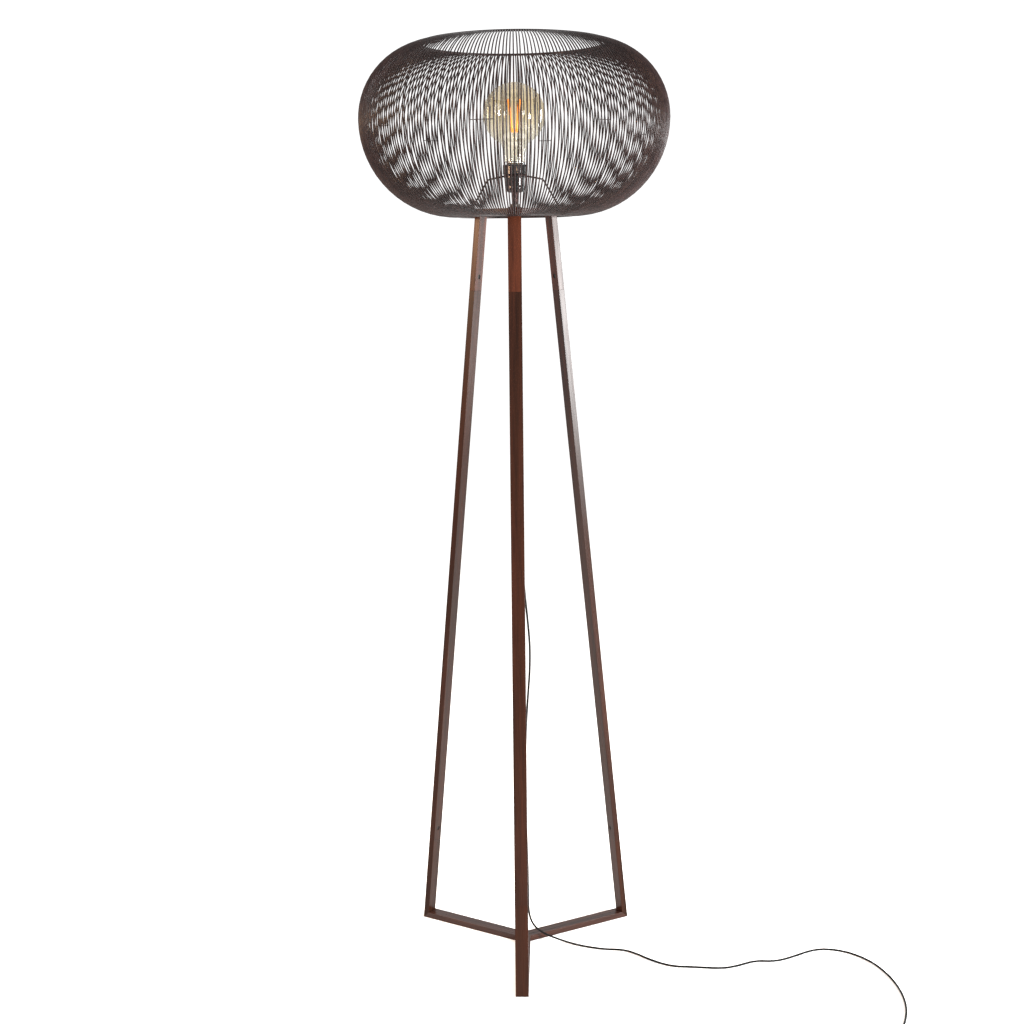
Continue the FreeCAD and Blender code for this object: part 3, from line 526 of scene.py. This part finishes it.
def add_cage():
    """Wires, rings and ties; gives the height of the bottom ring.

    Each wire strays a little from its even place, as hand-welded ones do, and most between the rings.
    """
    line = wire_line()
    pitch = 360.0 / WIRE_COUNT
    per_sector = WIRE_COUNT // SECTORS
    chance = random.Random(STRAY_SEED)
    for sector in range(SECTORS):
        lines = []
        for k in range(per_sector):
            azimuth = pitch * (sector * per_sector + k)
            shift, bow = chance.gauss(0, STRAY / 3), chance.gauss(0, STRAY)
            wire = []
            for i, (r, z) in enumerate(line):
                middle = math.sin(math.pi * i / (len(line) - 1))
                wire.append(polar(r, azimuth + pitch * (shift + bow * middle), z))
            lines.append(wire)
        add_tubes("wires_%d" % (sector + 1), lines, WIRE_RADIUS, WIRE_SIDES, CAGE_PAINT,
                  replaced=("cage_wires_%d" % (sector + 1),))
    add_ring("round_top_ring", "cage_top_ring", TOP_RING_RADIUS, line[0][1], RING_WIRE)
    add_ring("round_bottom_ring", "cage_bottom_ring", BOTTOM_RING_RADIUS, line[-1][1], RING_WIRE)
    lines = []
    inside = CAGE_RADIUS - 2 * WIRE_RADIUS
    height = CAGE_WIDEST - TIE_DROP
    for first, span in TIES:
        steps = 2 * span
        lines.append([polar(inside, pitch * (first + span * k / steps), height) for k in range(steps + 1)])
    add_tubes("tie_wires", lines, TIE_RADIUS, TIE_SIDES, CAGE_PAINT, replaced=("cage_ties",))
    return line[-1][1]


# ---- spider, lampholder, stem ------------------------------------------------------------

FLANGE_TOP = 1.3135
BODY_TOP = 1.331
SPIDER_WIRE = 0.0014           # radius of its wire
SPIDER_SIDES = 12
SPIDER_LEVEL = FLANGE_TOP + 0.0017
SPIDER_RING = 0.017            # radius of the ring on the flange
SPIDER_KNEE = (0.052, 1.310)   # radius and height of the bend in an arm
SPIDER_BEND = 0.004            # how far before and after the knee the bend reaches
SPIDER_REST = (-0.0010, 0.0024)    # from the bottom ring's centre line to the end of an arm
COLLAR_TOP = 1.332
COLLAR_PROFILE = ((0.0157, 1.3168), (0.0192, 1.3168), (0.0195, 1.3176), (0.0195, 1.3294),
                  (0.0192, COLLAR_TOP), (0.0168, COLLAR_TOP), (0.0157, 1.3312))
COLLAR_OUTSIDE = (2, 3, 4)     # the profile's points on the toothed face
COLLAR_EDGE = 4                # and the one on its top edge
COLLAR_TEETH = 12
TOOTH_STEPS = 12               # sides from one tooth to the next
GAP_STEPS = 5                  # of which these lie between the teeth
GAP_DEPTH = 0.0008
NOTCH_DEPTH = 0.0026
CAP_PROFILE = ((0.0052, 1.288), (0.009, 1.288), (0.0125, 1.2893), (0.0148, 1.2918), (0.0155, 1.2948),
               (0.0155, 1.299), (0.0139, 1.299), (0.0139, 1.294), (0.0052, 1.292))
THREAD_PITCH = 0.0019          # on the holder's body
THREAD_ROOT = 0.0148
THREAD_CREST = 0.0155
STEM_PROFILE = ((0.0034, 1.242), (0.005, 1.242), (0.005, 1.292), (0.0034, 1.292))
WASHER_THICK = 0.0012
WASHER_INNER = 0.0051
WASHER_OUTER = 0.009
WASHER_SIDES = 48


def add_spider(ring_height):
    """A ring on the holder's flange, and an arm towards each leg."""
    lines = [[polar(SPIDER_RING, 10.0 * k, SPIDER_LEVEL) for k in range(37)]]
    first, knee = Vector((SPIDER_RING, SPIDER_LEVEL)), Vector(SPIDER_KNEE)
    last = Vector((BOTTOM_RING_RADIUS + SPIDER_REST[0], ring_height + SPIDER_REST[1]))
    begin = knee + (first - knee).normalized() * SPIDER_BEND
    end = knee + (last - knee).normalized() * SPIDER_BEND
    bend = [begin * (1 - t) ** 2 + knee * 2 * t * (1 - t) + end * t ** 2 for t in (0, 0.2, 0.4, 0.6, 0.8, 1)]
    for azimuth in LEG_AZIMUTHS.values():
        lines.append([polar(p.x, azimuth, p.y) for p in [first] + bend + [last]])
    add_tubes("spider_wires", lines, SPIDER_WIRE, SPIDER_SIDES, CAGE_PAINT, replaced=("spider",))


def add_turned(name, profile, material, replaced, fillet=0.0006, body="lamp", centre=(0, 0, 0)):
    """A turned piece with soft corners, from its closed (radius, height) profile."""
    vertices, faces = revolved(rounded(profile, fillet), TURNED_SIDES, centre)
    return add_mesh(name, vertices, faces, material, body, replaced)


def add_collar():
    """Shade collar: a ring with grip teeth and a notched top edge."""
    vertices, faces = revolved(COLLAR_PROFILE, TOOTH_STEPS * COLLAR_TEETH)
    count = len(COLLAR_PROFILE)
    for i, vertex in enumerate(vertices):
        if i // count % TOOTH_STEPS >= GAP_STEPS:
            continue
        corner = i % count
        out = Vector((vertex.x, vertex.y, 0)).normalized()
        if corner == COLLAR_EDGE:
            vertex -= Vector((0, 0, NOTCH_DEPTH))
        if corner in COLLAR_OUTSIDE:
            vertex -= out * GAP_DEPTH
    add_mesh("collar_toothed", vertices, faces, BAKELITE, replaced=("shade_collar",), smooth=False)


def add_holder():
    """Cap, body with flange and thread, and shade collar."""
    add_turned("holder_cap_turned", CAP_PROFILE, BAKELITE, ("holder_cap",))
    body = [(0.0139, 1.2992), (0.0155, 1.2992), (0.0155, 1.3105), (0.018, 1.3115), (0.018, FLANGE_TOP)]
    height = FLANGE_TOP
    while height < BODY_TOP - 0.003:
        body += [(THREAD_ROOT, height + 0.0004), (THREAD_CREST, height + 0.0012)]
        height += THREAD_PITCH
    body += [(0.0153, BODY_TOP), (0.0140, BODY_TOP)]
    add_turned("holder_body_turned", body, BAKELITE, ("holder_body",), 0.0004)
    add_collar()


def add_stem():
    """The stem, and a washer under and over the head."""
    add_turned("stem_turned", STEM_PROFILE, STEM_THREAD, ("stem_tube",))
    vertices, faces = [], []
    for low in (HEAD_TOP - BAR_THICK - WASHER_THICK, HEAD_TOP):
        high = low + WASHER_THICK
        profile = ((WASHER_INNER, low), (WASHER_OUTER, low), (WASHER_OUTER, high), (WASHER_INNER, high))
        more, joined = revolved(rounded(profile, 0.0003), WASHER_SIDES)
        faces += [tuple(i + len(vertices) for i in face) for face in joined]
        vertices += more
    add_mesh("washers_turned", vertices, faces, BLACKENED, replaced=("stem_washers",))


# ---- bulb --------------------------------------------------------------------------------

GLOBE_RADIUS = 0.05
GLOBE_CENTRE = 1.411
GLOBE_STEPS = 40
GLOBE_SIDES = 96
NECK_RADIUS = 0.0165
NECK_BOTTOM = 1.337
NECK_SPREAD = 1.35             # the globe begins at this times the angle where it is as wide as the neck
BULB_CAP_PROFILE = ((0.0124, 1.316), (0.0132, 1.317), (0.0132, 1.334), (0.0155, 1.337),
                    (0.0006, 1.337), (0.0006, 1.336), (0.0124, 1.334))
STALK_PROFILE = ((ON_AXIS, NECK_BOTTOM), (0.0075, NECK_BOTTOM), (0.0055, NECK_BOTTOM + 0.008),
                 (0.003, NECK_BOTTOM + 0.02), (0.0013, NECK_BOTTOM + 0.03), (0.0011, 1.435),
                 (0.0018, 1.437), (ON_AXIS, 1.4375))
STRIPS = 4
STRIP_RADIUS = 0.0019
STRIP_SIDES = 10
LEAD_RADIUS = 0.0003
LEAD_SIDES = 6


def add_bulb():
    """Globe, cap, stalk, and the filament strips with their leads."""
    start = math.asin(NECK_RADIUS / GLOBE_RADIUS) * NECK_SPREAD
    profile = [(NECK_RADIUS, NECK_BOTTOM), (NECK_RADIUS + 0.0002, NECK_BOTTOM + 0.012)]
    for k in range(GLOBE_STEPS + 1):
        turn = (math.pi - start) * (1 - k / GLOBE_STEPS)
        profile.append((max(GLOBE_RADIUS * math.sin(turn), ON_AXIS),
                        GLOBE_CENTRE + GLOBE_RADIUS * math.cos(turn)))
    vertices, faces = revolved(profile, GLOBE_SIDES, closed=False)
    add_mesh("globe", vertices, faces, GLASS, replaced=("bulb_glass",))
    add_turned("cap_turned", BULB_CAP_PROFILE, CAP_THREAD, ("bulb_cap",), 0.0003)
    add_turned("stalk_turned", STALK_PROFILE, CLEAR, ("bulb_stalk",), 0.002)
    lines, leads = [], []
    for k in range(STRIPS):
        azimuth = 45 + 360 // STRIPS * k
        low, high = polar(0.0045, azimuth, 1.383), polar(0.0125, azimuth, 1.434)
        lines.append([low.lerp(high, t / 6) for t in range(7)])
        leads.append([high, polar(0.004, azimuth, 1.4375), polar(0.001, azimuth, 1.437)])
        leads.append([low, polar(0.004, azimuth, 1.374), polar(0.0025, azimuth, 1.356)])
    add_tubes("filament_strips", lines, STRIP_RADIUS, STRIP_SIDES, FILAMENT, replaced=("bulb_filaments",))
    add_tubes("filament_leads", leads, LEAD_RADIUS, LEAD_SIDES, NICKEL)


# ---- foot switch and plug ----------------------------------------------------------------

BUTTON_CROWN = SWITCH_HIGH + 0.0045
BUTTON_PROFILE = ((ON_AXIS, 0.0139), (0.003, 0.0139), (0.003, 0.0175), (0.013, 0.0175), (0.013, 0.0189),
                  (0.011, 0.0190), (0.011, BUTTON_CROWN - 0.0015), (0.0098, BUTTON_CROWN),
                  (0.008, BUTTON_CROWN - 0.0005), (ON_AXIS, BUTTON_CROWN - 0.0009))
PLUG_SECTIONS = ((0.0, 0.0088, 0.0068), (0.004, 0.0092, 0.0072), (0.010, 0.012, 0.009),
                 (0.016, 0.020, 0.0118), (0.020, 0.0256, 0.0134), (0.026, 0.0260, 0.0137),
                 (0.032, 0.0259, 0.0136), (0.034, 0.0244, 0.0122))    # place, width and thickness
PLUG_SIDES = 32
PLUG_SQUARE = 5                # power of the sections' rounded outline: 2 is an ellipse
PIN_SPACING = 0.0186
PIN_RADIUS = 0.002
PIN_SIDES = 20
PIN_PLACES = (0, 0.006, 0.012, 0.0185)    # of a pin's rings, from the plug's front


def add_switch():
    """Cover, base and button, turned; gives the two that stay still."""
    radius = SWITCH_RADIUS
    cover = ((0.0114, 0.0191), (radius - 0.010, 0.019), (radius - 0.0035, 0.014), (radius - 0.002, 0.010),
             (radius - 0.002, 0.0025), (radius, 0.0025), (radius, 0.010), (radius - 0.0015, 0.015),
             (radius - 0.006, 0.0195), (radius - 0.010, SWITCH_HIGH), (0.0135, SWITCH_HIGH),
             (0.0129, 0.0205), (0.0114, 0.0205))
    base = ((ON_AXIS, 0.0), (radius - 0.0006, 0.0), (radius, 0.0006), (radius, 0.0023), (ON_AXIS, 0.0023))
    shell = add_turned("switch_shell", cover, PLASTIC, ("switch_cover",), 0.0012, centre=SWITCH_CENTRE)
    foot = add_turned("switch_foot", base, PLASTIC, ("switch_base",), 0.0004, centre=SWITCH_CENTRE)
    add_turned("push_button", BUTTON_PROFILE, BAKELITE, ("switch_button",), 0.0006, "foot_button",
               SWITCH_CENTRE)
    return [shell, foot]


def add_plug():
    """Flat plug: a loft of rounded sections along -X, and two round pins."""
    rings = []
    for forward, wide, thick in PLUG_SECTIONS:
        ring = []
        for k in range(PLUG_SIDES):
            turn = 2 * math.pi * k / PLUG_SIDES
            across, up = math.cos(turn), math.sin(turn)
            square = (abs(across) ** PLUG_SQUARE + abs(up) ** PLUG_SQUARE) ** (-1 / PLUG_SQUARE)
            ring.append(PLUG_BACK + Vector((-forward, across * square * wide / 2, up * square * thick / 2)))
        rings.append(ring)
    vertices = [point for ring in rings for point in ring]
    body = add_mesh("plug_moulded", vertices, bridged(rings), PLASTIC, replaced=("plug_body",))
    front = PLUG_SECTIONS[-1][0]
    lines = []
    for side in (-0.5, 0.5):
        start = PLUG_BACK + Vector((-front, side * PIN_SPACING, 0))
        lines.append([start - Vector((forward, 0, 0)) for forward in PIN_PLACES])
    pins = add_tubes("round_pins", lines, PIN_RADIUS, PIN_SIDES, NICKEL, replaced=("plug_pins",))
    return [body, pins]


# ---- finishes of the CAD pieces that stay ------------------------------------------------

FINISHES = {"joint_rods": ZINC, "cross_dowels": BLACKENED, "stem_nuts": BLACKENED, "switch_screws": ZINC,
            "terminal_screws": BRASS, "hub_dowels": BEECH, "contact_sleeve": BRASS,
            "centre_contact": BRASS, "holder_carrier": CERAMIC, "bulb_contact": CERAMIC,
            "cord_bush": PLASTIC, "cord_inner": SHEATH, "switch_core": PLASTIC}


def paint(name, material):
    piece = nodes[name]
    piece.data.materials.clear()
    piece.data.materials.append(material)


def paint_nodes():
    """The bars, each with the grain along it and a figure of its own, then the small pieces."""
    lean = (FOOT_CIRCLE - HEAD_CIRCLE) / HEAD_TOP
    for k, (name, azimuth) in enumerate(LEG_AZIMUTHS.items()):
        for j, (part, (dark, light)) in enumerate(WOODS.items()):
            along = polar(1.0, azimuth, 0.0) if "arm" in part else polar(-lean, azimuth, 1.0)
            specular = BASE_ARM_SPECULAR if part == "base_arm_" else WOOD_SPECULAR
            paint(part + name, stained_wood("wood_" + part + name, along, dark, light, 3.1 * k + 1.3 * j,
                                            specular))
    for name, material in FINISHES.items():
        paint(name, material)


# ---- studio ------------------------------------------------------------------------------

WORLD_STRENGTH = 1.12
FLOOR_REACH = 9.0
FLOOR_DROP = 0.0005            # below the lamp's feet
WHITE = (1, 1, 1)
# Name, place, target, width, height, power in watts and colour
LIGHTS = (("key", (-3.0, -1.4, 2.4), (0, 0, 0.9), 1.6, 1.6, 30, WHITE),
          ("front_left", (-1.3, -2.25, 1.42), (0, 0, 1.41), 0.5, 0.7, 13, WHITE),
          ("front_right", (1.5, -2.1, 1.42), (0, 0, 1.41), 0.5, 0.7, 13, WHITE),
          ("side", (2.33, -1.26, 1.02), (0.07, 0.04, 1.1), 0.34, 0.75, 240, WHITE),
          ("rear", (2.35, 1.4, 1.1), (-0.1, 0.05, 0.8), 0.5, 1.6, 26, WHITE),
          ("warm", (-2.4, -1.35, 1.45), (-0.08, 0.04, 1.15), 0.3, 0.5, 85, (1.0, 0.62, 0.36)))


def add_light(name, place, target, width, height, power, colour):
    data = bpy.data.lights.new(name, "AREA")
    data.shape = "RECTANGLE"
    data.size = width
    data.size_y = height
    data.energy = power
    data.color = colour
    light = bpy.data.objects.new(name, data)
    bpy.context.collection.objects.link(light)
    light.visible_camera = False
    light.location = place
    light.rotation_euler = (Vector(target) - Vector(place)).to_track_quat("-Z", "Y").to_euler()


def add_studio():
    """White surroundings, a pale floor and the lights."""
    world = bpy.data.worlds.new("studio")
    world.use_nodes = True
    background = world.node_tree.nodes["Background"]
    background.inputs["Color"].default_value = (*WHITE, 1)
    background.inputs["Strength"].default_value = WORLD_STRENGTH
    bpy.context.scene.world = world
    bpy.context.scene.view_settings.view_transform = "Standard"
    data = bpy.data.meshes.new("floor")
    corners = [(x * FLOOR_REACH, y * FLOOR_REACH, 0) for x, y in ((-1, -1), (1, -1), (1, 1), (-1, 1))]
    data.from_pydata(corners, [], [(0, 1, 2, 3)])
    floor = bpy.data.objects.new("floor", data)
    floor.location.z = -FLOOR_DROP
    bpy.context.collection.objects.link(floor)
    material, tree, shader = blank("floor")
    speck = add_noise(tree, 3.0, 2)
    link(tree, add_ramp(tree, speck.outputs["Fac"], 0.3, 0.7, (0.93, 0.93, 0.93), (0.96, 0.96, 0.96)),
         "Color", shader, "Base Color")
    shader.inputs["Roughness"].default_value = 0.9
    data.materials.append(material)
    for light in LIGHTS:
        add_light(*light)


# ---- build -------------------------------------------------------------------------------

add_camera()
switch = add_switch()
plug = add_plug()
run = add_cord("cord_line", CORD_ROUTE, "cord_run")
coil = add_cord("cord_turns", coil_route(), "cord_coil")
bottom_ring_height = add_cage()
add_spider(bottom_ring_height)
add_holder()
add_stem()
add_bulb()
paint_nodes()
add_studio()
